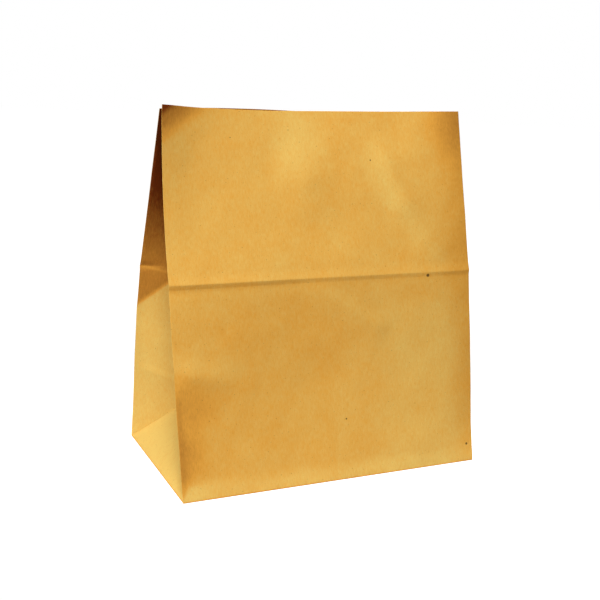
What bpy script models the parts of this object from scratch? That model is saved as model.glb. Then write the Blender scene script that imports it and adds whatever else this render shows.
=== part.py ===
"""Large kraft paper bag with side gussets and a block bottom, standing with its mouth almost closed.

The bag is one sheet of brown kraft paper, folded into a tube, glued along a lap in the back panel,
and closed by glued bottom flaps. It is one thin closed solid here, open at the mouth.

Metres, +Z up. The origin is the middle of the base, and the front panel faces -Y.
A place on the sheet is given by its height up the sheet from the bottom fold, and by how far
across a panel it lies, from -1 at the left corner to +1 at the right one.
"""

from math import cos, pi, radians, sin, sqrt, tan

import bmesh
import bpy
from mathutils import Vector

# Sheet sizes
WIDTH = 0.305
GUSSET = 0.178
HEIGHT = 0.348
CREASE_UP = 0.191
PAPER = 0.00015

# Folds, seam and bottom flaps
CORNER_FOLD = 0.0010
GUSSET_FOLD = 0.0006
RIDGE_OUT = 0.0006
RIDGE_REACH = 0.0025
SEAM_LAP = 0.025
SEAM_OFF_MIDDLE = 0.045
FLAP_LAP = 0.040
BASE_LAYERS = 3

# Lean of the panels towards the middle of the bag, in degrees, at these places across
LEAN_PLACES = (-1, -0.85, -0.65, -0.3, 0, 0.5, 1)
FRONT_LOW_LEAN = (13.2, 12.6, 12.0, 11.5, 11.2, 10.4, 9.2)
FRONT_TOP_LEAN = (9.0, 13.6, 15.8, 17.4, 16.4, 15.2, 12.8)
BACK_LOW_LEAN = (12.2, 10.8, 9.4, 7.8, 7.2, 8.5, 12.2)
BACK_TOP_LEAN = (22.0, 21.7, 21.4, 21.0, 21.0, 21.3, 22.0)

# Slope of a gusset from its outer edge down to its middle fold, in degrees
DIP_AT_APEX = 16.0
DIP_AT_CREASE = 12.0
DIP_AT_MOUTH = 6.0

# How far the used bag departs from its flat sizes
BASE_PULL = 0.0012
MOUTH_PULL = 0.0010
FRONT_LEFT_BOW = 0.006

# Fineness of the mesh
PANEL_STEPS = 10
GUSSET_STEPS = 3
ROW_STEP = 0.032
LAP_CLEARANCE = 0.008
SHARP_FOLD = 25

HALF_GUSSET = GUSSET / 2 - CORNER_FOLD - GUSSET_FOLD / 2
FRONT = -1
BACK = 1
LEFT = -1
RIGHT = 1


def mix(a, b, share):
    return a + (b - a) * share


def lean(angles, across):
    """Lean at a place across a panel, between the two nearest named places."""
    across = min(max(across, LEAN_PLACES[0]), LEAN_PLACES[-1])
    place = 1
    while across > LEAN_PLACES[place]:
        place += 1
    left, right = LEAN_PLACES[place - 1], LEAN_PLACES[place]
    return radians(mix(angles[place - 1], angles[place], (across - left) / (right - left)))


def panel_leans(side, across):
    if side == FRONT:
        return lean(FRONT_LOW_LEAN, across), lean(FRONT_TOP_LEAN, across)
    return lean(BACK_LOW_LEAN, across), lean(BACK_TOP_LEAN, across)


def half_width(up):
    """Half the distance between the left and right corner folds at a height up the sheet."""
    belly_up = CREASE_UP / 2
    if up < belly_up:
        return WIDTH / 2 - BASE_PULL * (1 - up / belly_up)
    if up < CREASE_UP:
        return WIDTH / 2
    return WIDTH / 2 - MOUTH_PULL * (up - CREASE_UP) / (HEIGHT - CREASE_UP)


def panel_y(side, across, z):
    """Where the outside of the front or back panel lies at a height above the floor."""
    low, top = panel_leans(side, across)
    crease_z = CREASE_UP * cos(low)
    if z <= crease_z:
        return side * (GUSSET / 2 - z * tan(low))
    mouth_z = crease_z + (HEIGHT - CREASE_UP) * cos(top)
    y = side * (GUSSET / 2 - CREASE_UP * sin(low) - (z - crease_z) * tan(top))
    if side == FRONT:
        share = min(1, (z - crease_z) / (mouth_z - crease_z))
        y += FRONT_LEFT_BOW * sin(pi * share) * ((1 - across) / 2) ** 2
    return y


def panel_point(side, across, up):
    low, top = panel_leans(side, across)
    z = min(up, CREASE_UP) * cos(low) + max(0, up - CREASE_UP) * cos(top)
    ridge = RIDGE_OUT * max(0, 1 - abs(up - CREASE_UP) / RIDGE_REACH)
    return Vector((across * half_width(up), panel_y(side, across, z) + side * ridge, z))


def gusset_dip(up):
    if up < CREASE_UP:
        share = (up - HALF_GUSSET) / (CREASE_UP - HALF_GUSSET)
        return radians(mix(DIP_AT_APEX, DIP_AT_CREASE, share))
    share = (up - CREASE_UP) / (HEIGHT - CREASE_UP)
    return radians(mix(DIP_AT_CREASE, DIP_AT_MOUTH, share))


def corner_fold(hand, side, up):
    """The gusset's side of a corner fold, which is one fold's width from the panel."""
    point = panel_point(side, hand, up)
    point.y -= side * CORNER_FOLD
    return point


def upper_gusset_point(hand, side, share, up):
    """A place on half a gusset above the apex, from its corner fold at 0 to its middle fold at 1."""
    front = panel_point(FRONT, hand, up)
    back = panel_point(BACK, hand, up)
    spread = (back.y - front.y) / 2 - CORNER_FOLD - GUSSET_FOLD / 2
    depth = sqrt(HALF_GUSSET**2 - spread**2)
    dip = gusset_dip(up)
    outer_z = front.z if side == FRONT else back.z
    x = hand * (half_width(up) - share * depth * cos(dip))
    z = mix(outer_z, (front.z + back.z) / 2, share) - share * depth * sin(dip)
    across = x / half_width(up)
    beside_panel = panel_y(side, across, z) - side * CORNER_FOLD
    middle = (panel_y(FRONT, across, z) + panel_y(BACK, across, z)) / 2
    return Vector((x, mix(beside_panel, middle + side * GUSSET_FOLD / 2, share), z))


def gusset_point(hand, side, share, up):
    """A place on half a gusset: below the apex its inner edge is the slanting fold from the corner."""
    if up >= HALF_GUSSET:
        return upper_gusset_point(hand, side, share, up)
    apex = upper_gusset_point(hand, side, 1, HALF_GUSSET)
    slant = mix(corner_fold(hand, side, 0), apex, up / HALF_GUSSET)
    return mix(corner_fold(hand, side, up), slant, share)


def row_heights():
    """Heights up the sheet, with one at each fold and even steps between them."""
    stops = (0, HALF_GUSSET, CREASE_UP - RIDGE_REACH, CREASE_UP, CREASE_UP + RIDGE_REACH, HEIGHT)
    heights = [0]
    for low, high in zip(stops, stops[1:]):
        steps = max(1, round((high - low) / ROW_STEP))
        heights += [mix(low, high, step / steps) for step in range(1, steps + 1)]
    return heights


def back_places():
    """Places across the back panel from right to left, with one at each edge of the glued lap."""
    lap_start = (SEAM_OFF_MIDDLE + SEAM_LAP / 2) / (WIDTH / 2)
    lap_end = (SEAM_OFF_MIDDLE - SEAM_LAP / 2) / (WIDTH / 2)
    clearance = LAP_CLEARANCE / (WIDTH / 2)
    even = [1 - 2 * step / PANEL_STEPS for step in range(PANEL_STEPS + 1)]
    clear = [place for place in even if not lap_end - clearance < place < lap_start + clearance]
    return sorted(clear + [lap_start, lap_end], reverse=True), lap_start, lap_end


def sheet_columns():
    """Every column of the tube, counter-clockwise seen from above: a point maker and two layer shares.

    The shares say how far the outside steps out, and the inside steps in, for the second layer
    of the glued lap. A column at an edge of the lap is listed with both of its shares.
    """
    places, lap_start, lap_end = back_places()
    columns = []
    for step in range(PANEL_STEPS + 1):
        across = 2 * step / PANEL_STEPS - 1
        columns.append((("panel", FRONT, across), 0, 0))
    columns += gusset_columns(RIGHT, (FRONT, BACK))
    for across in places:
        maker = ("panel", BACK, across)
        if across == lap_start:
            columns += [(maker, 0, 0), (maker, 1, 0)]
        elif across == lap_end:
            columns += [(maker, 0, 1), (maker, 0, 0)]
        else:
            columns.append((maker, 0, 0))
    columns += gusset_columns(LEFT, (BACK, FRONT))
    return columns


def gusset_columns(hand, sides):
    """Columns of one gusset, from the panel that comes first round to the other."""
    shares = [step / GUSSET_STEPS for step in range(GUSSET_STEPS + 1)]
    first = [(("gusset", hand, sides[0], share), 0, 0) for share in shares]
    second = [(("gusset", hand, sides[1], share), 0, 0) for share in reversed(shares)]
    return first + second


def place_on_sheet(maker, up):
    if maker[0] == "panel":
        return panel_point(maker[1], maker[2], up)
    return gusset_point(maker[1], maker[2], maker[3], up)


def merged(bm, points):
    """One vertex for each point, or the last one again where a point repeats it."""
    verts = []
    for point in points:
        if verts and (verts[-1].co - point).length < PAPER / 10:
            verts.append(verts[-1])
        else:
            verts.append(bm.verts.new(point))
    return verts


def add_face(bm, corners):
    ring = [vert for place, vert in enumerate(corners) if vert not in corners[:place]]
    if len(ring) > 2:
        bm.faces.new(ring)


def add_band(bm, lower, upper, flip):
    """A ring of faces between two rows, each split along the same diagonal on both sides of the paper."""
    for place in range(len(lower)):
        after = (place + 1) % len(lower)
        for corners in (
            [lower[place], lower[after], upper[after]],
            [lower[place], upper[after], upper[place]],
        ):
            add_face(bm, corners[::-1] if flip else corners)


def shell_offsets(makers, heights):
    """How far each point of the sheet moves for one paper's thickness towards the inside."""
    bm = bmesh.new()
    rows = [merged(bm, [place_on_sheet(maker, up) for maker in makers]) for up in heights]
    for lower, upper in zip(rows, rows[1:]):
        add_band(bm, lower, upper, flip=False)
    add_face(bm, list(reversed(rows[0])))
    bm.normal_update()
    offsets = [[-vert.normal * vert.calc_shell_factor() * PAPER for vert in row] for row in rows]
    bm.free()
    return offsets


def fan(bm, loop, centre):
    """Triangles from a middle point to each edge of a flat outline."""
    ring = [vert for place, vert in enumerate(loop) if vert not in loop[:place]]
    hub = bm.verts.new(centre)
    for place, vert in enumerate(ring):
        bm.faces.new([hub, vert, ring[(place + 1) % len(ring)]])


def add_bottom_flaps(bm, front, right, back, left):
    """The underside: front and back flaps lapped in the middle, with a folded ear at each end.

    The back flap is outermost, flat on the floor. The front flap goes under it, one layer up
    at the lap, and each ear lies one layer deeper still at its apex.
    """
    half_lap = FLAP_LAP / 2
    apex_x = half_width(0) - GUSSET / 2
    lap_x = apex_x - half_lap
    front_slope = PAPER / (GUSSET / 2 - half_lap)
    front_apex_z = front_slope * GUSSET / 2
    ends = {}
    for hand in (LEFT, RIGHT):
        ends[hand] = (
            bm.verts.new((hand * apex_x, 0, 0)),
            bm.verts.new((hand * apex_x, 0, front_apex_z)),
            bm.verts.new((hand * apex_x, 0, front_apex_z + PAPER)),
            bm.verts.new((hand * lap_x, -half_lap, 0)),
            bm.verts.new((hand * lap_x, -half_lap, PAPER)),
        )
    left_floor, left_front, left_ear, left_lap, left_under = ends[LEFT]
    right_floor, right_front, right_ear, right_lap, right_under = ends[RIGHT]

    fan(bm, back + [left_floor, left_lap, right_lap, right_floor], (0, GUSSET / 4, 0))
    middle_y = -(GUSSET / 2 + half_lap) / 2
    middle_z = front_slope * (middle_y + GUSSET / 2)
    fan(bm, front + [right_front, right_under, left_under, left_front], (0, middle_y, middle_z))
    bm.faces.new([left_lap, right_lap, right_under, left_under])
    for side_row, hand in ((left, LEFT), (right, RIGHT)):
        floor, flap, ear, lap, under = ends[hand]
        ear_x = hand * (half_width(0) - GUSSET / 6)
        fan(bm, side_row + [ear], (ear_x, 0, ear.co.z / 3))
        bm.faces.new([floor, flap, under, lap])
        front_corner = front[0] if hand == LEFT else front[-1]
        back_corner = back[-1] if hand == LEFT else back[0]
        bm.faces.new([front_corner, flap, ear])
        bm.faces.new([back_corner, floor, flap, ear])


def paper_sheet():
    """The whole folded and glued sheet, as one closed mesh."""
    columns = sheet_columns()
    heights = row_heights()
    makers = []
    index = {}
    for maker, _, _ in columns:
        if maker not in index:
            index[maker] = len(makers)
            makers.append(maker)
    offsets = shell_offsets(makers, heights)
    floor_thickness = BASE_LAYERS * PAPER

    bm = bmesh.new()
    outer = []
    inner = []
    for row, up in enumerate(heights):
        outside = []
        inside = []
        for maker, step_out, step_in in columns:
            point = place_on_sheet(maker, up)
            offset = offsets[row][index[maker]]
            inward = Vector((0, -PAPER, 0))
            outside.append(point - step_out * inward)
            within = point + offset + step_in * inward
            if row == 0:
                within += place_on_sheet(maker, floor_thickness) - point
                within.z = floor_thickness
            inside.append(within)
        outer.append(merged(bm, outside))
        inner.append(merged(bm, inside))

    for skin, flip in ((outer, False), (inner, True)):
        for lower, upper in zip(skin, skin[1:]):
            add_band(bm, lower, upper, flip)
    add_band(bm, outer[-1], inner[-1], flip=False)

    fan(bm, inner[0], (0, 0, floor_thickness))
    front_end = PANEL_STEPS
    right_end = front_end + 2 * (GUSSET_STEPS + 1) + 1
    back_end = len(columns) - 2 * (GUSSET_STEPS + 1) - 1
    bottom = outer[0]
    add_bottom_flaps(
        bm,
        bottom[: front_end + 1],
        bottom[front_end : right_end + 1],
        bottom[right_end : back_end + 1],
        bottom[back_end:] + bottom[:1],
    )
    bmesh.ops.recalc_face_normals(bm, faces=bm.faces)
    mesh = bpy.data.meshes.new("paper_bag")
    bm.to_mesh(mesh)
    bm.free()
    return mesh


def kraft_paper():
    material = bpy.data.materials.new("kraft_paper")
    material.use_nodes = True
    shader = material.node_tree.nodes["Principled BSDF"]
    shader.inputs["Base Color"].default_value = (0.56, 0.36, 0.12, 1)
    shader.inputs["Roughness"].default_value = 0.75
    shader.inputs["Metallic"].default_value = 0
    return material


def main():
    for old in list(bpy.data.objects):
        bpy.data.objects.remove(old)
    mesh = paper_sheet()
    mesh.materials.append(kraft_paper())
    bag = bpy.data.objects.new("paper_bag", mesh)
    bpy.context.scene.collection.objects.link(bag)
    mesh.shade_smooth()
    mesh.set_sharp_from_angle(angle=radians(SHARP_FOLD))


main()
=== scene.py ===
"""A large kraft paper bag standing by itself on a white floor, its mouth pinched almost closed.

The bag is one folded and glued sheet. Its surface is worked out place by place on the flat paper,
with the soft bends and dents of a bag that has been opened by hand, and dressed as brown kraft.
"""

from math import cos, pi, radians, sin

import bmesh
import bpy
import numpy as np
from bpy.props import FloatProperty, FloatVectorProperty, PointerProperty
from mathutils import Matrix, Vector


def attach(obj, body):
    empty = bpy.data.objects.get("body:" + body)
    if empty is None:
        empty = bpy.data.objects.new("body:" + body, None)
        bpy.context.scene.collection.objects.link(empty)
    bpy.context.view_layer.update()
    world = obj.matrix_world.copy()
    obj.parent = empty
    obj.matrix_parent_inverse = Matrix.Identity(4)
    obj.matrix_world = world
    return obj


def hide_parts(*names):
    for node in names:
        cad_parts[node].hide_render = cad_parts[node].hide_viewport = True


bl_info = {
    "name": "Kraft Paper Bag",
    "version": (1, 0, 0),
    "blender": (4, 5, 0),
    "location": "View3D > Sidebar > Kraft Bag",
    "description": "Makes a standing kraft paper bag with side gussets and a lapped bottom",
    "category": "Add Mesh",
}

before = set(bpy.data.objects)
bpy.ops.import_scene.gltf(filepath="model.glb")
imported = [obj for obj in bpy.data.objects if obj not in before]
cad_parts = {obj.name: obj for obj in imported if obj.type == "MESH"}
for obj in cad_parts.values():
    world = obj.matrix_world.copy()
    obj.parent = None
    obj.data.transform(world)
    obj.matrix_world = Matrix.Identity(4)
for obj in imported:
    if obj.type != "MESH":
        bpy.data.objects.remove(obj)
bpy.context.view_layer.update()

FRONT = -1
BACK = 1
LEFT = -1
RIGHT = 1
ACROSS = 0
UP = 1
MM = 0.001

# Half the width and the crease of the flat sheet in millimetres, as the lists of places below have them
SHEET_HALF = 152.5
SHEET_CREASE = 191


def linear(code):
    """The linear colour of an sRGB hex value."""
    parts = [int(code[place : place + 2], 16) / 255 for place in (0, 2, 4)]
    return tuple(v / 12.92 if v <= 0.04045 else ((v + 0.055) / 1.055) ** 2.4 for v in parts)


def mix(a, b, share):
    """The value this share of the way from one to the other."""
    return a + (b - a) * share


def smooth(value):
    """An even rise from 0 to 1."""
    value = np.clip(value, 0, 1)
    return value * value * (3 - 2 * value)


def ease(value, start, length):
    """An even rise from 0 at the start to 1 a length further on, or further back if it is below 0."""
    return smooth((value - start) / length)


# Sizes and colours that a user would change


class SheetSizes(bpy.types.PropertyGroup):
    width: FloatProperty(
        name="Width", description="Width of the front panel", default=0.305, unit="LENGTH"
    )
    gusset: FloatProperty(
        name="Gusset", description="Depth of the opened bag", default=0.178, unit="LENGTH"
    )
    height: FloatProperty(
        name="Height", description="Height of the sheet", default=0.348, unit="LENGTH"
    )
    crease_up: FloatProperty(
        name="Crease", description="Height of the cross crease up the sheet", default=0.191, unit="LENGTH"
    )
    paper: FloatProperty(
        name="Paper", description="Thickness of one layer", default=0.00015, unit="LENGTH", precision=5
    )
    lap_step: FloatProperty(
        name="Lap step",
        description="Height of a glued edge, drawn a little coarser than one layer so that it shows",
        default=0.00028,
        unit="LENGTH",
        precision=5,
    )
    seam_lap: FloatProperty(
        name="Seam lap", description="Width of the glued lap", default=0.025, unit="LENGTH"
    )
    flap_lap: FloatProperty(
        name="Flap lap", description="Overlap of the bottom flaps", default=0.040, unit="LENGTH"
    )


class KraftColours(bpy.types.PropertyGroup):
    pale: FloatVectorProperty(
        name="Pale",
        description="Lightest parts of the paper",
        default=linear("EDC76A"),
        subtype="COLOR",
        min=0,
        max=1,
    )
    deep: FloatVectorProperty(
        name="Deep",
        description="Deeper parts of the paper",
        default=linear("E8A53F"),
        subtype="COLOR",
        min=0,
        max=1,
    )
    # The brown stop is mostly painted shade, in the gusset's fold and at the mouth's left tip; stray fibre
    # bundles and bark dots use it too
    brown: FloatVectorProperty(
        name="Brown",
        description="Paper darkened by folding",
        default=linear("7A3402"),
        subtype="COLOR",
        min=0,
        max=1,
    )
    speck: FloatVectorProperty(
        name="Speck",
        description="Bark specks",
        default=linear("3A2208"),
        subtype="COLOR",
        min=0,
        max=1,
    )


class StageSettings(bpy.types.PropertyGroup):
    camera_place: FloatVectorProperty(
        name="Camera",
        description="Where the camera stands",
        default=(-0.3889, -0.8290, 0.3568),
        subtype="XYZ",
    )
    camera_yaw: FloatProperty(
        name="Yaw", description="Turn of the view to the right", default=radians(24.86), subtype="ANGLE"
    )
    camera_pitch: FloatProperty(
        name="Pitch", description="Tilt of the view downwards", default=radians(12.47), subtype="ANGLE"
    )
    camera_roll: FloatProperty(
        name="Roll", description="Turn of the picture", default=radians(2.04), subtype="ANGLE"
    )
    lens: FloatProperty(name="Lens", description="Focal length in millimetres", default=56.94)
    sky: FloatProperty(name="Sky", description="Strength of the even light", default=0.05)
    key_power: FloatProperty(
        name="Key", description="Power of the high lamp", default=34, unit="POWER"
    )
    side_power: FloatProperty(
        name="Side", description="Power of the low left lamp", default=8.1, unit="POWER"
    )
    back_power: FloatProperty(
        name="Back", description="Power of the lamp behind", default=30, unit="POWER"
    )


class KraftBagSettings(bpy.types.PropertyGroup):
    sizes: PointerProperty(type=SheetSizes)
    colours: PointerProperty(type=KraftColours)
    stage: PointerProperty(type=StageSettings)


# The folded form: lean of each panel towards the middle of the bag, in degrees, at these places across

LEAN_PLACES = (-1, -0.85, -0.65, -0.3, 0, 0.5, 1)
FRONT_LOW_LEAN = (13.2, 12.6, 12.0, 11.5, 11.2, 10.4, 9.2)
FRONT_TOP_LEAN = (9.0, 13.6, 15.8, 17.4, 16.4, 15.2, 12.8)
BACK_LOW_LEAN = (12.2, 10.8, 9.4, 7.8, 7.2, 8.5, 12.2)
BACK_TOP_LEAN = (22.0, 21.7, 21.4, 21.0, 21.0, 21.3, 22.0)

# How far the middle fold of a gusset dips inwards, in degrees
DIP_AT_APEX = 16.0
DIP_AT_CREASE = 12.0
DIP_AT_MOUTH = 6.0

# How far each side pulls in at the base and at the mouth, and how far the front's left edge bows
BASE_PULL = 1.2 * MM
MOUTH_PULL = 1.0 * MM
FRONT_LEFT_BOW = 6 * MM

# Distance between the two sides of a fold, and how far the paper bulges between them
CORNER_FOLD = 0.6 * MM
GUSSET_FOLD = 0.4 * MM
FOLD_BULGE = 0.2 * MM

# The glued seam of the back: how far it is off the middle, and over what width its step is drawn
SEAM_OFF_MIDDLE = 45 * MM
SEAM_STEP = 0.06 * MM

# The back's corner towards the front's tip stands up this far, easing in from this place across
BACK_CORNER_RISE = 4.5 * MM
BACK_CORNER_START = 0.4

# Cockling of the sheet: lengths of its waves in millimetres, height for each, and the fixed draw
WAVE_LENGTHS = (95, 74, 61, 47, 38, 31, 24, 19)
WAVE_STEEPNESS = 0.0012
WAVE_SEED = 11

# Bends and bumps: they begin over this height above the foot, in millimetres. How round a crest and a
# bump's tip are, how steeply they fall away, and how far a crest runs on past its ends.
BEND_START = 10
CREST_ROUND = 0.03
CREST_FALL = 1.25
CREST_ENDS = 0.6
BUMP_ROUND = 0.02
BUMP_RIM = 1.14
BUMP_FALL = 1.3

# Edges that roll back do so over this height above the foot, and over this height above the crease
ROLL_START = 40
ROLL_RISE = 120

# Bends of the panels: what it is, panel, its points as (across, up, height of the crest, below 0 for
# a groove), and its reach to the left and right when walked along. The lengths of all these lists
# are in millimetres on the flat sheet.
BENDS = (
    ("cross crease", FRONT, ((-153, 191, 1.3), (153, 191, 0.9)), 8, 4.5),
    ("groove under the cross crease", FRONT, ((-153, 184, -0.5), (-30, 185, -0.1)), 4, 6),
    ("cross crease of the back", BACK, ((-153, 191, 1.0), (153, 191, 1.0)), 6, 5),
    ("mouth corner bent forward", FRONT, ((-165, 356, 2.6), (-142, 336, 0.0)), 60, 30),
    (
        "long bend under the right of the mouth",
        FRONT,
        ((62, 324, 0.3), (74, 290, 3.4), (86, 262, 3.8), (106, 232, 2.2), (124, 205, 0.3)),
        54,
        24,
    ),
    ("short bend at the left", FRONT, ((-158, 121, 0.8), (-136, 111, 3.4), (-98, 98, 0.8)), 17, 32),
    ("faint bend below the crease", FRONT, ((-6, 178, 0.9), (48, 144, 1.7)), 10, 26),
    ("hollow above the foot", FRONT, ((-150, 17, -0.7), (150, 14, -0.6)), 14, 15),
    ("foot corner pressed in", FRONT, ((-153, 2, -0.9), (-138, 16, -0.2)), 9, 12),
    ("gusset bend", BACK, ((-153, 146, 3.8), (-105, 194, 0.2)), 46, 120),
    ("gusset bend on the right", BACK, ((153, 140, 2.6), (110, 186, 0.2)), 120, 50),
)

# Round bumps and hollows: what it is, panel, middle, height, half sizes across and up
DENTS = (
    ("bump under the middle of the mouth", FRONT, (-14, 281), 2.3, 34, 40),
    ("swelling above the crease at the left", FRONT, (-125, 200), 1.2, 34, 26),
    ("wide hollow of the lower panel", FRONT, (-15, 96), -4.6, 140, 100),
    ("small hollow right of the long bend", FRONT, (84, 312), -0.7, 18, 26),
    ("hollow of the upper panel", FRONT, (20, 240), -1.6, 110, 48),
    ("swelling of the back", BACK, (20, 90), 3.0, 150, 80),
    ("hollow of the back", BACK, (-40, 262), -1.8, 110, 60),
)

# Painted highlights along bends, whose crest is drawn paler: what it is, its points as (across, up, how
# much paler), reaches
BEND_HIGHLIGHTS = (
    (
        "long bend",
        ((54, 310, 0.03), (65, 284, 0.10), (76, 260, 0.10), (98, 230, 0.06), (118, 204, 0.02)),
        18,
        18,
    ),
    ("short bend", ((-151, 119, 0.04), (-126, 115, 0.07), (-100, 111, 0.08)), 26, 8),
    ("faint bend", ((0, 178, 0.03), (46, 150, 0.04)), 12, 12),
)

# The tone of the paper: 0 is its pale colour, this its deep one and 1 its brown one
DEEP_TONE = 0.3

# The plain tone of each part
FRONT_TONE = 0.195
BACK_TONE = 0.22
# The gusset's paler tone is painted light on its lit lower part
GUSSET_TONE = 0.075
# The corner folds are drawn paler: partly wear, partly a painted highlight along the fold
CORNER_FOLD_TONE = 0.1

# Wide parts of a panel that are deeper, or paler for an amount below 0: what it is, how much, and its
# edges, each as the direction, where it starts, and over what length it eases in
# On the front these are painted light and shade: the lower panel, its left and the right edge deeper where
# they turn from the light, the right of the lower panel and the strip above the foot paler where they are
# lit
FRONT_LIGHT_AND_SHADE = (
    ("lower panel", 0.01, ((UP, 191, -3), (UP, 4, 50))),
    ("left of the lower panel", 0.025, ((ACROSS, -40, -60), (UP, 178, -20))),
    ("right of the lower panel", -0.07, ((ACROSS, 20, 60), (UP, 178, -30))),
    ("above the foot", -0.08, ((UP, 20, -14),)),
    ("right edge from the lower panel upwards", 0.11, ((ACROSS, 112, 40), (UP, 120, 90))),
    ("right edge of the lower panel", 0.11, ((ACROSS, 118, 34), (UP, 178, -30))),
    ("top right corner", 0.25, ((ACROSS, 100, 50), (UP, 285, 50))),
)
BACK_SHADES = (("lower panel", 0.03, ((UP, 191, -3),)),)

# Oval places of a panel: what it is, how much deeper, middle, half sizes across and up
# These are painted shade, with a painted highlight under the middle of the mouth
FRONT_LIGHT_AND_SHADE_PATCHES = (
    ("middle of the lower panel", 0.03, (-20, 135), 90, 50),
    ("along the left fold", 0.10, (-146, 62), 22, 52),
    ("under the short bend", 0.06, (-132, 82), 36, 23),
    ("left foot corner", 0.12, (-152, 36), 17, 30),
    ("under the middle of the mouth", -0.08, (-22, 318), 34, 36),
)
BACK_PATCHES = (("right of the lower panel", 0.05, (60, 110), 90, 70),)

# The shaded line under the cross crease: its height and reach, and how much deeper it is at the
# front's left, at its right, and on the back
CREASE_LINE_UP = 187.5
CREASE_LINE_REACH = 4
CREASE_LINE_LEFT = 0.054
CREASE_LINE_RIGHT = 0.018
CREASE_LINE_BACK = 0.07

# How much deeper the bottom fold is, where it turns under and the ground shades it
FOOT_LINE = 0.35

# How much deeper the back's cut edge is, painted shade of the mouth's inside, which shows as a thin line
# behind the front's
MOUTH_LINE = 0.5

# How much deeper the glued seam of the back is, and how much the step at its edge adds
SEAM_TONE = 0.03
SEAM_EDGE_TONE = 0.12

# Edge of the tip at the left of the mouth, painted brown as shade where it turns from the light, as
# (across, up), and the steps past it: how far past, over what length, how much deeper
TIP_LINE = ((-153, 306), (-96, 347))
TIP_STEPS = ((1, 22, 0.45), (23, 9, 0.45))

# The strip beside the front's left fold, painted shade: where its edge is at the foot, how far that moves
# for each millimetre up, where it stops, and how much deeper it is. A paler triangle beside its foot is a
# painted highlight.
STRIP_FOOT = -151.5
STRIP_SLANT = 0.45
STRIP_EDGE = -145
STRIP_TONE = 0.13
TRIANGLE_TONE = 0.08

# Painted shade in the gusset's fold: it is deeper above a line that slants up from this height at its
# corner folds, with a painted highlight as a pale line at the crease, and further up by these steps: what
# it is, how much, from where, over what length
GUSSET_SLANT_UP = 146
GUSSET_ABOVE_SLANT = 0.50
GUSSET_CREASE_PALE = 0.14
GUSSET_STEPS_UP = (("above the crease", 0.25, 196, 50), ("towards the mouth", 0.27, 228, 70))

# The triangle at the foot of a gusset, which faces up into the light, is paler: painted light
GUSSET_TRIANGLE_PALE = 0.06

# The left gusset's fold is painted deep brown as shade; on the right one, which is guessed, this painted
# shade is weaker, at this share
RIGHT_GUSSET_SHADE_SHARE = 0.4

# Panel edges that roll back towards the fold: panel, hand, where the roll starts across, how far back
# the edge goes at the crease and at the mouth
ROLLS = (
    (FRONT, RIGHT, 116, 1.9, 3.0),
    (FRONT, LEFT, 132, 0.6, 0.2),
    (BACK, RIGHT, 120, 1.2, 1.4),
    (BACK, LEFT, 124, 1.0, 1.2),
)


def bend_shape(x, up, points, left, right):
    """Height of a bend: a rounded crest along joined runs, which dies away past its ends."""
    total = np.zeros_like(x)
    for start, end in zip(points, points[1:]):
        run = np.array(end[:2], float) - np.array(start[:2], float)
        length = np.hypot(*run)
        run = run / length
        along = (x - start[0]) * run[0] + (up - start[1]) * run[1]
        off = (x - start[0]) * run[1] - (up - start[1]) * run[0]
        reach = np.where(off < 0, left, right)
        rounded = np.sqrt((off / reach) ** 2 + CREST_ROUND**2)
        near = np.clip(1 + CREST_ROUND - rounded, 0, 1) ** CREST_FALL
        crest = mix(start[2], end[2], np.clip(along / length, 0, 1))
        past = np.maximum(0, np.maximum(-along, along - length))
        height = crest * near * smooth(1 - past / (CREST_ENDS * (left + right)))
        total = np.where(np.abs(height) > np.abs(total), height, total)
    return total


def dent_shape(x, up, middle, height, half_x, half_up):
    """Height of a round bump with a rounded tip."""
    far = np.sqrt(((x - middle[0]) / half_x) ** 2 + ((up - middle[1]) / half_up) ** 2 + BUMP_ROUND)
    return height * np.clip(BUMP_RIM - far, 0, 1) ** BUMP_FALL


def roll_shape(x, up, hand, start, at_crease, at_mouth):
    """How far a panel's edge rolls back, which is below 0."""
    turned = np.clip((hand * x - start) / (SHEET_HALF - start), 0, 1) ** 2
    low = at_crease * ease(up, 0, ROLL_START)
    return -mix(low, at_mouth, ease(up, SHEET_CREASE, ROLL_RISE)) * turned


def paper_waves(x, up, side):
    """Faint cockling of the sheet: a few crossing waves with fixed directions."""
    draw = np.random.default_rng(WAVE_SEED + side)
    total = np.zeros_like(x)
    for length in WAVE_LENGTHS:
        turn = draw.uniform(0, pi)
        phase = draw.uniform(0, 2 * pi)
        travel = x * np.cos(turn) + up * np.sin(turn)
        total = total + WAVE_STEEPNESS * length * np.sin(2 * pi * travel / length + phase)
    return total


def patch(x, up, middle, half_x, half_up):
    """1 in the middle of an oval place on the sheet, easing to 0 at its rim."""
    return smooth(1.25 - np.hypot((x - middle[0]) / half_x, (up - middle[1]) / half_up))


def tip_edge(x, up):
    """How far into the left tip of the mouth, which is painted dark as shade, a place is, past a slanting
    line.
    """
    start, end = TIP_LINE
    run = np.array(end, float) - np.array(start, float)
    run = run / np.hypot(*run)
    return (up - start[1]) * run[0] - (x - start[0]) * run[1]


# The tones below take places in millimetres on the flat sheet


def shaded(x, up, tone, shades, patches):
    """A panel's plain tone with its wide shades and oval patches over it."""
    for _, amount, edges in shades:
        part = amount
        for direction, start, length in edges:
            part = part * ease((x, up)[direction], start, length)
        tone = tone + part
    for _, amount, middle, half_x, half_up in patches:
        tone = tone + amount * patch(x, up, middle, half_x, half_up)
    return tone


def crease_line(up):
    """1 in the shaded line under the cross crease, easing to 0 beside it."""
    return smooth(1 - np.abs(up - CREASE_LINE_UP) / CREASE_LINE_REACH)


def foot_line(up):
    """How much deeper the paper is in the last millimetre above the bottom fold."""
    return FOOT_LINE * ease(up, 1.4, -1.2)


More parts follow.
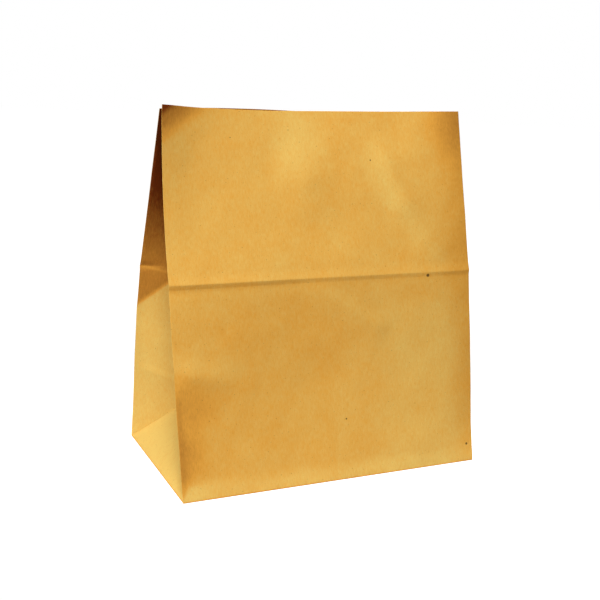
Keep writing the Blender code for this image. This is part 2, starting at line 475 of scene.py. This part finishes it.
def front_tone(x, up):
    """How deep the colour of the front is."""
    tone = shaded(x, up, FRONT_TONE, FRONT_LIGHT_AND_SHADE, FRONT_LIGHT_AND_SHADE_PATCHES) + foot_line(up)
    for start, length, amount in TIP_STEPS:
        tone = tone + amount * ease(tip_edge(x, up), start, length)
    tone = tone + mix(CREASE_LINE_LEFT, CREASE_LINE_RIGHT, ease(x, -60, 60)) * crease_line(up)
    strip_edge = np.minimum(STRIP_EDGE, STRIP_FOOT + STRIP_SLANT * up)
    strip = smooth((strip_edge - x) / 3) * ease(up, 110, -40)
    triangle = (1 - strip) * ease(up, 15, -4) * ease(x, -122, -20)
    tone = tone + STRIP_TONE * strip - TRIANGLE_TONE * triangle
    # Painted highlights along the crests of bends
    for _, points, left, right in BEND_HIGHLIGHTS:
        tone = tone - bend_shape(x, up, points, left, right)
    return tone


def back_tone(x, up, half_lap):
    """How deep the colour of the back is, with the glued seam and its edge a little deeper, and painted
    shade along the mouth's cut edge.
    """
    tone = shaded(x, up, BACK_TONE, BACK_SHADES, BACK_PATCHES) + foot_line(up)
    seam = (x - SEAM_OFF_MIDDLE / MM) / half_lap
    tone = tone + SEAM_TONE * smooth((1 - np.abs(seam)) * 8)
    tone = tone + SEAM_EDGE_TONE * smooth(1 - np.abs(seam - 1) * 10)
    return tone + CREASE_LINE_BACK * crease_line(up) + MOUTH_LINE * ease(up, 346.4, 1.2)


def gusset_tone(hand, inward, up):
    """How deep the colour of a gusset is, with painted shade in its fold and painted light at its crease
    and foot triangle: inward is the distance from its nearer corner fold.
    """
    above = up - np.minimum(GUSSET_SLANT_UP + inward, SHEET_CREASE)
    depth = GUSSET_ABOVE_SLANT * ease(above, 0, 6)
    depth = depth - GUSSET_CREASE_PALE * smooth(1 - np.abs(up - SHEET_CREASE) / 3)
    for _, amount, start, length in GUSSET_STEPS_UP:
        depth = depth + amount * ease(up, start, length)
    share = 1 if hand == LEFT else RIGHT_GUSSET_SHADE_SHARE
    triangle = GUSSET_TRIANGLE_PALE * ease(inward - up, 0, 3)
    return GUSSET_TONE - triangle + share * depth + foot_line(up)


class BagSheet:
    """Where each place on the flat paper lies in the standing bag."""

    def __init__(self, sizes):
        self.width = sizes.width
        self.depth = sizes.gusset
        self.height = sizes.height
        self.crease = sizes.crease_up
        self.half_gusset = sizes.gusset / 2 - CORNER_FOLD - GUSSET_FOLD / 2
        self.seam_edge = SEAM_OFF_MIDDLE + sizes.seam_lap / 2

    def lean(self, angles, across):
        """The lean at a place across a panel, eased between the named places."""
        reach = np.array((-0.12, -0.06, 0, 0.06, 0.12))
        near = np.clip(np.asarray(across)[..., None] + reach, -1, 1)
        weights = np.array((1, 2, 3, 2, 1)) / 9
        return np.radians((np.interp(near, LEAN_PLACES, angles) * weights).sum(-1))

    def panel_leans(self, side, across):
        """The leans of a panel below and above the crease."""
        if side == FRONT:
            return self.lean(FRONT_LOW_LEAN, across), self.lean(FRONT_TOP_LEAN, across)
        return self.lean(BACK_LOW_LEAN, across), self.lean(BACK_TOP_LEAN, across)

    def half_width(self, up):
        """Half the width of a panel: widest half way up to the crease."""
        belly_up = self.crease / 2
        low = self.width / 2 - BASE_PULL * np.clip(1 - up / belly_up, 0, 1)
        return low - MOUTH_PULL * np.clip((up - self.crease) / (self.height - self.crease), 0, 1)

    def bend(self, side, across, up):
        """How far the panel stands out from its plain leaning form."""
        x = across * self.width / 2 / MM
        rise = up / MM
        total = paper_waves(x, rise, side)
        for _, panel, points, left, right in BENDS:
            if panel == side:
                total = total + bend_shape(x, rise, points, left, right)
        for _, panel, middle, height, half_x, half_up in DENTS:
            if panel == side:
                total = total + dent_shape(x, rise, middle, height, half_x, half_up)
        for panel, hand, start, at_crease, at_mouth in ROLLS:
            if panel == side:
                total = total + roll_shape(x, rise, hand, start, at_crease, at_mouth)
        return total * MM * ease(rise, 0, BEND_START)

    def panel_y(self, side, across, z):
        """How far back a panel's surface lies at a height above the ground."""
        low, top = self.panel_leans(side, across)
        crease_z = self.crease * np.cos(low)
        mouth_z = crease_z + (self.height - self.crease) * np.cos(top)
        over = np.maximum(0, z - crease_z)
        y = side * (self.depth / 2 - np.minimum(z, crease_z) * np.tan(low) - over * np.tan(top))
        if side == FRONT:
            share = np.clip(over / (mouth_z - crease_z), 0, 1)
            y = y + FRONT_LEFT_BOW * np.sin(pi * share) * ((1 - across) / 2) ** 2
        up = np.minimum(z, crease_z) / np.cos(low) + over / np.cos(top)
        return y + side * self.bend(side, across, up)

    def panel_point(self, side, across, up):
        """A place on a panel: across goes from -1 at its left edge to 1, up runs along the paper."""
        low, top = self.panel_leans(side, across)
        z = np.minimum(up, self.crease) * np.cos(low) + np.maximum(0, up - self.crease) * np.cos(top)
        if side == BACK:
            share = ease(up, self.crease, self.height - self.crease)
            z = z + BACK_CORNER_RISE * share * ease(across, BACK_CORNER_START, -1 - BACK_CORNER_START)
        return np.stack([across * self.half_width(up), self.panel_y(side, across, z), z], -1)

    def gusset_dip(self, up):
        """The dip of a gusset's middle fold, eased between the apex, the crease and the mouth."""
        low = mix(DIP_AT_APEX, DIP_AT_CREASE, (up - self.half_gusset) / (self.crease - self.half_gusset))
        high = mix(DIP_AT_CREASE, DIP_AT_MOUTH, (up - self.crease) / (self.height - self.crease))
        return np.radians(np.where(up < self.crease, low, high))

    def corner_fold(self, hand, side, up):
        """The gusset's side of a corner fold, one fold's width from the panel."""
        point = self.panel_point(side, np.full_like(up, hand), up)
        point[..., 1] -= side * CORNER_FOLD
        return point

    def upper_gusset(self, hand, side, share, up):
        """A place on half a gusset above the apex, from its corner fold to its middle fold."""
        edge = np.full_like(up, hand)
        front = self.panel_point(FRONT, edge, up)
        back = self.panel_point(BACK, edge, up)
        spread = (back[..., 1] - front[..., 1]) / 2 - CORNER_FOLD - GUSSET_FOLD / 2
        depth = np.sqrt(self.half_gusset**2 - spread**2)
        dip = self.gusset_dip(up)
        outer_z = front[..., 2] if side == FRONT else back[..., 2]
        x = hand * (self.half_width(up) - share * depth * np.cos(dip))
        middle_z = (front[..., 2] + back[..., 2]) / 2
        z = mix(outer_z, middle_z, share) - share * depth * np.sin(dip)
        across = x / self.half_width(up)
        beside = self.panel_y(side, across, z) - side * CORNER_FOLD
        middle = (self.panel_y(FRONT, across, z) + self.panel_y(BACK, across, z)) / 2
        return np.stack([x, mix(beside, middle + side * GUSSET_FOLD / 2, share), z], -1)

    def gusset_point(self, hand, side, share, up):
        """A place on half a gusset: below the apex its inner edge is the slanting fold."""
        upper = self.upper_gusset(hand, side, share, np.maximum(up, self.half_gusset))
        apex = self.upper_gusset(hand, side, np.ones(1), np.full(1, self.half_gusset))
        corner = self.corner_fold(hand, side, np.zeros(1))
        slant = mix(corner, apex, np.clip(up / self.half_gusset, 0, 1)[..., None])
        lower = mix(self.corner_fold(hand, side, up), slant, share[..., None])
        return np.where((up < self.half_gusset)[..., None], lower, upper)


# Building the mesh


class BagMesh:
    """Gathers points and faces of the outer skin, and their places on the flat sheet."""

    def __init__(self, sizes):
        self.sizes = sizes
        self.sheet = BagSheet(sizes)
        self.points = []
        self.places = []
        self.tones = []
        self.faces = []

    def add(self, point, place, tone=DEEP_TONE):
        """Keep one point, and give its number."""
        self.points.append(tuple(float(v) for v in point))
        self.places.append(place)
        self.tones.append(float(tone))
        return len(self.points) - 1

    def face(self, corners):
        """Keep one face, without the corners that it names twice."""
        ring = [one for place, one in enumerate(corners) if one not in corners[:place]]
        if len(ring) > 2:
            self.faces.append(ring)

    def bridge(self, lower, upper):
        """Triangles between two rows that may hold different numbers of points."""
        a = b = 0
        while a < len(lower) - 1 or b < len(upper) - 1:
            next_a = (a + 1) / max(1, len(lower) - 1)
            next_b = (b + 1) / max(1, len(upper) - 1)
            if b == len(upper) - 1 or (a < len(lower) - 1 and next_a <= next_b):
                self.face([lower[a], lower[a + 1], upper[b]])
                a += 1
            else:
                self.face([lower[a], upper[b + 1], upper[b]])
                b += 1


# Steps of the mesh: up the sheet and across a panel, and the finer ones by the crease and the edges
ROW_STEP = 3.3 * MM
COLUMN_STEP = 3.2 * MM
CREASE_STEP = 0.7 * MM
CREASE_REACH = 5 * MM
EDGE_STEP = 0.5 * MM
EDGE_REACH = 1.5 * MM
BESIDE_FOLD = (0.3, 0.8, 1.6)
GUSSET_COLUMNS = 27
TRIANGLE_STEP = 3.4 * MM
FOLD_TURNS = (0.2, 0.5, 0.8)


def row_heights(sheet):
    """Heights up the sheet: even steps, finer beside the cross crease, the bottom fold and the mouth."""
    spans = (
        (0, EDGE_REACH, EDGE_STEP),
        (EDGE_REACH, sheet.half_gusset, ROW_STEP),
        (sheet.half_gusset, sheet.crease - CREASE_REACH, ROW_STEP),
        (sheet.crease - CREASE_REACH, sheet.crease, CREASE_STEP),
        (sheet.crease, sheet.crease + CREASE_REACH, CREASE_STEP),
        (sheet.crease + CREASE_REACH, sheet.height - EDGE_REACH, ROW_STEP),
        (sheet.height - EDGE_REACH, sheet.height, EDGE_STEP),
    )
    heights = [0.0]
    for low, high, size in spans:
        count = max(1, round((high - low) / size))
        heights += [mix(low, high, place / count) for place in range(1, count + 1)]
    return np.array(heights)


def panel_places(sheet, side):
    """Places across a panel, finer beside its corner folds, and doubled at the seam's edge."""
    half = sheet.width / 2
    step = COLUMN_STEP / half
    even = np.linspace(-1, 1, round(2 / step) + 1)
    close = np.array(BESIDE_FOLD) * MM / half
    places = np.concatenate([even, -1 + close, 1 - close])
    if side == BACK:
        start = sheet.seam_edge / half
        places = places[np.abs(places - start) > step / 2]
        places = np.concatenate([places, [start, start - SEAM_STEP / half]])
    return np.unique(np.round(places, 6))


def build_panel(bag, side, heights):
    """Grid of points on the front or back panel, as rows of indices from left to right."""
    sheet = bag.sheet
    half = sheet.width / 2
    places = panel_places(sheet, side)
    across, up = np.meshgrid(places, heights)
    points = sheet.panel_point(side, across, up)
    if side == FRONT:
        tones = front_tone(across * half / MM, up / MM)
        start_u = 0
    else:
        past = sheet.seam_edge - across * half
        step = np.clip(1 - past / bag.sizes.seam_lap, 0, 1) * bag.sizes.lap_step
        points[..., 1] += np.where(past > SEAM_STEP / 2, step, 0)
        tones = back_tone(across * half / MM, up / MM, bag.sizes.seam_lap / 2 / MM)
        start_u = sheet.width + sheet.depth
    rows = []
    for row, height in enumerate(heights):
        line = []
        for column, place in enumerate(places):
            u = start_u - side * place * half
            line.append(bag.add(points[row, column], (u, height), tones[row, column]))
        rows.append(line)
    for lower, upper in zip(rows, rows[1:]):
        for place in range(len(lower) - 1):
            corners = [lower[place], lower[place + 1], upper[place + 1], upper[place]]
            bag.face(corners if side == FRONT else corners[::-1])
    return rows


# The triangle and the middle fold take the tone of this distance from the corner fold, in millimetres
TRIANGLE_INWARD = 80


def build_gusset(bag, hand, front_edge, back_edge, heights):
    """One gusset between the two panels' edges: corner folds, halves, middle fold and foot."""
    sheet = bag.sheet
    shares = np.linspace(0, 1, GUSSET_COLUMNS + 1)
    centre_u = hand * (sheet.width / 2 + sheet.depth / 2)
    halves = {}
    for side in (FRONT, BACK):
        share, up = np.meshgrid(shares, heights)
        points = sheet.gusset_point(hand, side, share, up)
        rows = []
        for row, height in enumerate(heights):
            line = []
            for column in range(GUSSET_COLUMNS + 1):
                if row == 0 and column > 0:
                    line.append(line[0])
                    continue
                reach = min(1, height / sheet.half_gusset) * sheet.half_gusset
                from_corner = CORNER_FOLD + shares[column] * reach
                u = centre_u + hand * side * (sheet.depth / 2 - from_corner)
                tone = gusset_tone(hand, from_corner / MM, height / MM)
                line.append(bag.add(points[row, column], (u, height), tone))
            rows.append(line)
        halves[side] = rows

    def skin(lower, upper):
        for place in range(len(lower) - 1):
            corners = [lower[place], lower[place + 1], upper[place + 1], upper[place]]
            bag.face(corners if hand == RIGHT else corners[::-1])

    for side, edge in ((FRONT, front_edge), (BACK, back_edge)):
        arcs = []
        for row, height in enumerate(heights):
            panel = np.array(bag.points[edge[row]])
            inner = np.array(bag.points[halves[side][row][0]])
            line = [edge[row]]
            for turn in FOLD_TURNS:
                point = mix(panel, inner, turn)
                point[0] += hand * FOLD_BULGE * np.sin(pi * turn)
                u = centre_u + hand * side * (sheet.depth / 2 - turn * CORNER_FOLD)
                line.append(bag.add(point, (u, height), CORNER_FOLD_TONE))
            line.append(halves[side][row][0])
            arcs.append(line)
        for lower, upper in zip(arcs, arcs[1:]):
            if side == FRONT:
                skin(lower, upper)
            else:
                skin(lower[::-1], upper[::-1])
        halves[(side, "foot")] = arcs[0]

    for side in (FRONT, BACK):
        for lower, upper in zip(halves[side], halves[side][1:]):
            if side == FRONT:
                skin(lower, upper)
            else:
                skin(lower[::-1], upper[::-1])

    # The triangle at the foot, which narrows to the middle fold above its apex
    foot_rows = []
    for row, height in enumerate(heights):
        first = halves[FRONT][row][-1]
        last = halves[BACK][row][-1]
        start = np.array(bag.points[first])
        end = np.array(bag.points[last])
        count = 2
        if height < sheet.half_gusset:
            count = max(2, round(np.linalg.norm(end - start) / TRIANGLE_STEP))
        line = [first]
        for place in range(1, count):
            share = place / count
            point = mix(start, end, share)
            if count == 2:
                point[0] -= hand * FOLD_BULGE
            u = centre_u + hand * mix(-1, 1, share) * np.linalg.norm(end - start) / 2
            tone = gusset_tone(hand, TRIANGLE_INWARD, height / MM)
            line.append(bag.add(point, (u, height), tone))
        line.append(last)
        foot_rows.append(line)
    for lower, upper in zip(foot_rows, foot_rows[1:]):
        if hand == RIGHT:
            bag.bridge(lower, upper)
        else:
            bag.bridge(lower[::-1], upper[::-1])
    return halves[(FRONT, "foot")] + foot_rows[0][1:-1] + halves[(BACK, "foot")][::-1]


# How far the underside lies from the walls on the flat sheet that the paper's pattern is laid on
BOTTOM_AWAY = 0.3


def bottom_place(point):
    """Where a point of the underside lies on the flat sheet."""
    return point[0], point[1] - BOTTOM_AWAY


def fan(bag, loop, centre):
    """Triangles from a middle point to each edge of a flat outline."""
    ring = [one for place, one in enumerate(loop) if one not in loop[:place]]
    hub = bag.add(centre, bottom_place(centre))
    for place, one in enumerate(ring):
        bag.face([hub, one, ring[(place + 1) % len(ring)]])


def build_bottom(bag, front, back, left, right):
    """The underside: two flaps lapped in the middle, with a folded ear at each end.

    The back flap is outermost and flat on the ground, the front flap goes one step up under it,
    and each ear lies one step deeper still at its apex.
    """
    sheet = bag.sheet
    step = bag.sizes.lap_step
    half_lap = bag.sizes.flap_lap / 2
    half = float(sheet.half_width(np.zeros(1))[0])
    apex_x = half - sheet.depth / 2
    lap_x = apex_x - half_lap
    front_slope = step / (sheet.depth / 2 - half_lap)
    front_apex_z = front_slope * sheet.depth / 2

    ends = {}
    for hand in (LEFT, RIGHT):
        corners = (
            (hand * apex_x, 0, 0),
            (hand * apex_x, 0, front_apex_z),
            (hand * apex_x, 0, front_apex_z + step),
            (hand * lap_x, -half_lap, 0),
            (hand * lap_x, -half_lap, step),
        )
        ends[hand] = [bag.add(corner, bottom_place(corner)) for corner in corners]
    left_floor, _, _, left_lap, left_under = ends[LEFT]
    right_floor, _, _, right_lap, right_under = ends[RIGHT]
    fan(bag, back[::-1] + [left_floor, left_lap, right_lap, right_floor], (0, sheet.depth / 4, 0))
    middle_y = -(sheet.depth / 2 + half_lap) / 2
    middle_z = front_slope * (middle_y + sheet.depth / 2)
    fan(bag, front + [right_under, left_under], (0, middle_y, middle_z))
    bag.face([left_lap, right_lap, right_under, left_under])
    for hand, row in ((LEFT, left), (RIGHT, right)):
        floor, flap, ear, lap, under = ends[hand]
        ear_z = bag.points[ear][2]
        fan(bag, row + [ear], (hand * (half - sheet.depth / 6), 0, ear_z / 3))
        bag.face([floor, flap, under, lap])
        front_corner = front[0] if hand == LEFT else front[-1]
        back_corner = back[0] if hand == LEFT else back[-1]
        bag.face([front_corner, flap, under])
        bag.face([front_corner, flap, ear])
        bag.face([back_corner, floor, flap, ear])


def bag_object(settings):
    """The whole sheet as one mesh: its outer skin, given the paper's thickness inwards."""
    bag = BagMesh(settings.sizes)
    heights = row_heights(bag.sheet)
    front = build_panel(bag, FRONT, heights)
    back = build_panel(bag, BACK, heights)
    feet = {}
    for hand in (LEFT, RIGHT):
        column = 0 if hand == LEFT else -1
        front_edge = [row[column] for row in front]
        back_edge = [row[column] for row in back]
        feet[hand] = build_gusset(bag, hand, front_edge, back_edge, heights)
    first_of_bottom = len(bag.faces)
    build_bottom(bag, front[0], back[0], feet[LEFT], feet[RIGHT])

    mesh = bpy.data.meshes.new("kraft_paper_bag")
    mesh.from_pydata(bag.points, [], bag.faces)
    layer = mesh.uv_layers.new(name="sheet")
    for face in mesh.polygons:
        for loop, point in zip(face.loop_indices, face.vertices):
            if face.index < first_of_bottom:
                layer.data[loop].uv = bag.places[point]
            else:
                layer.data[loop].uv = bottom_place(bag.points[point])
    tone = mesh.attributes.new("tone", "FLOAT", "POINT")
    tone.data.foreach_set("value", bag.tones)
    bm = bmesh.new()
    bm.from_mesh(mesh)
    bmesh.ops.recalc_face_normals(bm, faces=bm.faces)
    bm.to_mesh(mesh)
    bm.free()
    mesh.shade_smooth()
    mesh.set_sharp_from_angle(angle=radians(50))
    piece = bpy.data.objects.new("kraft_paper_bag", mesh)
    bpy.context.scene.collection.objects.link(piece)
    thickness = piece.modifiers.new("paper thickness", "SOLIDIFY")
    thickness.thickness = settings.sizes.paper
    thickness.offset = -1
    return piece


# Finishes


def add_node(tree, kind, settings=None, inputs=None, links=None):
    """One node with its settings, its input values, and links to it as input: (node, output)."""
    node = tree.nodes.new(kind)
    for name, value in (settings or {}).items():
        setattr(node, name, value)
    for name, value in (inputs or {}).items():
        node.inputs[name].default_value = value
    for name, (source, output) in (links or {}).items():
        tree.links.new(source.outputs[output], node.inputs[name])
    return node


# Bark specks of the front: place as (across, up) and radius, in millimetres
FRONT_SPECKS = (
    (53, 301, 0.9),
    (105, 188, 2.0),
    (13, 56, 1.0),
    (146, 17, 1.5),
    (-86, 322, 0.6),
    (-28, 330, 0.5),
)

# Noise on the sheet: size of its features across and up the sheet in millimetres, detail, roughness.
# Kraft fibres are about 0.03 mm thick and 3 mm long, too fine to show, so what stands for them here
# is bundles of fibres, drawn 0.9 mm thick and 4.5 mm long.
PAPER_NOISES = {
    "drift": (38, 46, 2, 0.5),
    "formation": (14, 18, 3, 0.55),
    "flocks": (2.7, 6.0, 3, 0.6),
    "fibre bundles": (0.9, 4.5, 2, 0.6),
    "stray bundles": (1.1, 0.4, 1, 0.5),
    "bark dots": (1.7, 1.9, 1, 0.5),
}


def kraft_material(colours):
    """Kraft paper, an unbleached pulp sheet, machine finished and uncoated.

    It is matte and a little fuzzy, with cloudy formation, short fibres that lie mostly up the sheet,
    and a few specks of bark. Its tone also holds painted light and shade: deeper where the bag turns
    from the light and inside its folds, paler where it is lit.
    Paper fibre bends light by about 1.5, but its fuzz scatters the shine away, so 1.25 is used.
    The fibres stand up by some hundredths of a millimetre, drawn coarser so that they show.
    """
    material = bpy.data.materials.new("machine_finished_kraft_paper")
    material.use_nodes = True
    tree = material.node_tree
    tree.nodes.clear()
    sheet = add_node(tree, "ShaderNodeUVMap", {"uv_map": "sheet"})
    noises = {}
    for name, (across, up, detail, roughness) in PAPER_NOISES.items():
        scale = (1 / (across * MM), 1 / (up * MM), 1)
        spread = add_node(
            tree, "ShaderNodeVectorMath", {"operation": "MULTIPLY"}, {1: scale}, {0: (sheet, "UV")}
        )
        noises[name] = add_node(
            tree,
            "ShaderNodeTexNoise",
            {"noise_dimensions": "2D"},
            {"Scale": 1, "Detail": detail, "Roughness": roughness},
            {"Vector": (spread, 0)},
        )

    # How deep the colour is: the tone of the place, which holds painted light and shade, and the cloudy
    # formation of the pulp over it
    depth = (add_node(tree, "ShaderNodeAttribute", {"attribute_name": "tone"}), "Fac")
    strengths = {"drift": 0.10, "formation": 0.11, "flocks": 0.16, "fibre bundles": -0.22}
    for name, strength in strengths.items():
        centred = add_node(
            tree, "ShaderNodeMath", {"operation": "SUBTRACT"}, {1: 0.5}, {0: (noises[name], 0)}
        )
        added = add_node(
            tree,
            "ShaderNodeMath",
            {"operation": "MULTIPLY_ADD"},
            {1: strength},
            {0: (centred, 0), 2: depth},
        )
        depth = (added, 0)
    ramp = add_node(tree, "ShaderNodeValToRGB", links={"Fac": depth})
    stops = ramp.color_ramp.elements
    stops[0].color = (*colours.pale, 1)
    stops[1].color = (*colours.brown, 1)
    stops.new(DEEP_TONE).color = (*colours.deep, 1)

    # Laid over it: stray dark bundles of fibres, dots of bark, and the few larger specks
    overlays = []
    for name, low, high, strength, colour in (
        ("stray bundles", 0.62, 0.82, 0.20, colours.brown),
        ("bark dots", 0.76, 0.86, 0.50, colours.brown),
    ):
        cover = add_node(
            tree,
            "ShaderNodeMapRange",
            inputs={"From Min": low, "From Max": high, "To Min": 0, "To Max": strength},
            links={"Value": (noises[name], 0)},
        )
        overlays.append((cover, colour))
    for across, up, radius in FRONT_SPECKS:
        away = add_node(
            tree,
            "ShaderNodeVectorMath",
            {"operation": "DISTANCE"},
            {1: (across * MM, up * MM, 0)},
            {0: (sheet, "UV")},
        )
        cover = add_node(
            tree,
            "ShaderNodeMapRange",
            inputs={"From Min": radius * MM, "From Max": 0.55 * radius * MM, "To Min": 0, "To Max": 0.85},
            links={"Value": (away, "Value")},
        )
        overlays.append((cover, colours.speck))
    colour = (ramp, "Color")
    for cover, over in overlays:
        laid = add_node(
            tree, "ShaderNodeMix", {"data_type": "RGBA"}, {7: (*over, 1)}, {0: (cover, 0), 6: colour}
        )
        colour = (laid, 2)

    relief = add_node(
        tree,
        "ShaderNodeMath",
        {"operation": "ADD"},
        links={0: (noises["fibre bundles"], 0), 1: (noises["flocks"], 0)},
    )
    bump = add_node(
        tree,
        "ShaderNodeBump",
        inputs={"Strength": 0.35, "Distance": 0.125 * MM},
        links={"Height": (relief, 0)},
    )
    shader = add_node(
        tree,
        "ShaderNodeBsdfPrincipled",
        inputs={"Roughness": 0.75, "IOR": 1.25},
        links={"Base Color": colour, "Normal": (bump, 0)},
    )
    add_node(tree, "ShaderNodeOutputMaterial", links={"Surface": (shader, 0)})
    return material


def floor_material():
    """White studio paper: plain white to the camera, but for a faint shadow close to the bag.

    It throws light back only near the bag, so that the bag's foot is lit as on a lit table.
    """
    material = bpy.data.materials.new("white_background_paper")
    material.use_nodes = True
    tree = material.node_tree
    tree.nodes.clear()
    place = add_node(tree, "ShaderNodeNewGeometry")
    away = add_node(tree, "ShaderNodeVectorMath", {"operation": "LENGTH"}, links={0: (place, "Position")})
    grey = add_node(
        tree,
        "ShaderNodeMapRange",
        inputs={"From Min": 0.16, "From Max": 0.38, "To Min": 0.8, "To Max": 0.14},
        links={"Value": (away, "Value")},
    )
    paper = add_node(tree, "ShaderNodeBsdfDiffuse", links={"Color": (grey, 0)})
    fill = add_node(
        tree,
        "ShaderNodeMapRange",
        inputs={"From Min": 0.2, "From Max": 0.8, "To Min": 0.8, "To Max": 1.0},
        links={"Value": (away, "Value")},
    )
    seen = add_node(tree, "ShaderNodeLightPath")
    shown = add_node(
        tree, "ShaderNodeMath", {"operation": "MULTIPLY"}, links={0: (seen, "Is Camera Ray"), 1: (fill, 0)}
    )
    white = add_node(
        tree, "ShaderNodeEmission", inputs={"Color": (1, 1, 1, 1)}, links={"Strength": (shown, 0)}
    )
    both = add_node(tree, "ShaderNodeAddShader", links={0: (paper, 0), 1: (white, 0)})
    add_node(tree, "ShaderNodeOutputMaterial", links={"Surface": (both, 0)})
    return material


# The floor lies this far under the paper, so that the two never share a plane
FLOOR_GAP = 0.3 * MM

# The lamps: turn from the front towards the left and rise, in degrees, distance and size in metres.
# The high key lamp lights the front. The low side lamp grazes it, which shows its bends, and lights
# the gusset. The back lamp is for the views of the other sides.
KEY_TURN = 26
KEY_RISE = 57
KEY_AWAY = 1.9
KEY_SIZE = 0.45
SIDE_TURN = 80
SIDE_RISE = 10
SIDE_AWAY = 1.6
SIDE_SIZE = 0.35
BACK_TURN = 222
BACK_RISE = 38
BACK_AWAY = 1.9
BACK_SIZE = 0.6


# Operators


class KRAFTBAG_OT_bag(bpy.types.Operator):
    """Make the folded sheet with its paper finish"""

    bl_idname = "kraftbag.bag"
    bl_label = "Paper Bag"

    def execute(self, context):
        settings = context.scene.kraft_bag
        piece = bag_object(settings)
        piece.data.materials.append(kraft_material(settings.colours))
        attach(piece, "root")
        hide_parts("paper_bag")
        return {"FINISHED"}


class KRAFTBAG_OT_stage(bpy.types.Operator):
    """Make the white floor, the even sky, the three lamps and the camera"""

    bl_idname = "kraftbag.stage"
    bl_label = "Stage"

    def execute(self, context):
        settings = context.scene.kraft_bag.stage
        make_floor()
        make_sky(settings.sky)
        make_lamp("key_lamp", settings.key_power, KEY_TURN, KEY_RISE, KEY_AWAY, KEY_SIZE)
        make_lamp("side_lamp", settings.side_power, SIDE_TURN, SIDE_RISE, SIDE_AWAY, SIDE_SIZE)
        make_lamp("back_lamp", settings.back_power, BACK_TURN, BACK_RISE, BACK_AWAY, BACK_SIZE)
        make_camera(settings)
        context.scene.view_settings.view_transform = "Standard"
        return {"FINISHED"}


def make_floor():
    """A wide round floor just under the bag."""
    mesh = bpy.data.meshes.new("floor")
    bm = bmesh.new()
    bmesh.ops.create_circle(bm, cap_ends=True, segments=64, radius=12)
    bm.to_mesh(mesh)
    bm.free()
    mesh.materials.append(floor_material())
    floor = bpy.data.objects.new("floor", mesh)
    floor.location.z = -FLOOR_GAP
    bpy.context.scene.collection.objects.link(floor)


def make_sky(strength):
    """Even white light, and a plain white background where the camera sees past the floor."""
    world = bpy.data.worlds.new("white_studio")
    bpy.context.scene.world = world
    world.use_nodes = True
    tree = world.node_tree
    tree.nodes.clear()
    light = add_node(tree, "ShaderNodeBackground", inputs={"Color": (1, 1, 1, 1), "Strength": strength})
    white = add_node(tree, "ShaderNodeBackground", inputs={"Color": (1, 1, 1, 1), "Strength": 1})
    seen = add_node(tree, "ShaderNodeLightPath")
    chosen = add_node(
        tree, "ShaderNodeMixShader", links={0: (seen, "Is Camera Ray"), 1: (light, 0), 2: (white, 0)}
    )
    add_node(tree, "ShaderNodeOutputWorld", links={"Surface": (chosen, 0)})


def make_lamp(name, power, turn, rise, away, size):
    """A soft round lamp aimed at the middle of the bag."""
    lamp = bpy.data.lights.new(name, "AREA")
    lamp.shape = "DISK"
    lamp.size = size
    lamp.energy = power
    holder = bpy.data.objects.new(name, lamp)
    target = Vector((0, 0, 0.17))
    flat = away * cos(radians(rise))
    offset = Vector((-flat * sin(radians(turn)), -flat * cos(radians(turn)), away * sin(radians(rise))))
    holder.location = target + offset
    holder.rotation_euler = (-offset).to_track_quat("-Z", "Y").to_euler()
    bpy.context.scene.collection.objects.link(holder)


def make_camera(settings):
    """The camera of the photograph, from in front and a little to the left."""
    lens = bpy.data.cameras.new("camera")
    lens.lens = settings.lens
    lens.sensor_width = 36
    camera = bpy.data.objects.new("camera", lens)
    turn = Matrix.Rotation(-settings.camera_yaw, 4, "Z")
    tilt = Matrix.Rotation(pi / 2 - settings.camera_pitch, 4, "X")
    roll = Matrix.Rotation(settings.camera_roll, 4, "Z")
    camera.matrix_world = Matrix.Translation(settings.camera_place) @ turn @ tilt @ roll
    bpy.context.scene.collection.objects.link(camera)
    bpy.context.scene.camera = camera


class KRAFTBAG_PT_panel(bpy.types.Panel):
    """Lists the steps that make the bag and its stage"""

    bl_idname = "KRAFTBAG_PT_panel"
    bl_label = "Kraft Bag"
    bl_space_type = "VIEW_3D"
    bl_region_type = "UI"
    bl_category = "Kraft Bag"

    def draw(self, context):
        for operator in OPERATORS:
            self.layout.operator(operator.bl_idname)


OPERATORS = (KRAFTBAG_OT_bag, KRAFTBAG_OT_stage)
GROUPS = (SheetSizes, KraftColours, StageSettings, KraftBagSettings)
CLASSES = GROUPS + OPERATORS + (KRAFTBAG_PT_panel,)


def register():
    for item in CLASSES:
        bpy.utils.register_class(item)
    bpy.types.Scene.kraft_bag = PointerProperty(type=KraftBagSettings)


def unregister():
    del bpy.types.Scene.kraft_bag
    for item in reversed(CLASSES):
        bpy.utils.unregister_class(item)


def main():
    register()
    bpy.ops.kraftbag.bag()
    bpy.ops.kraftbag.stage()


if __name__ == "__main__":
    main()
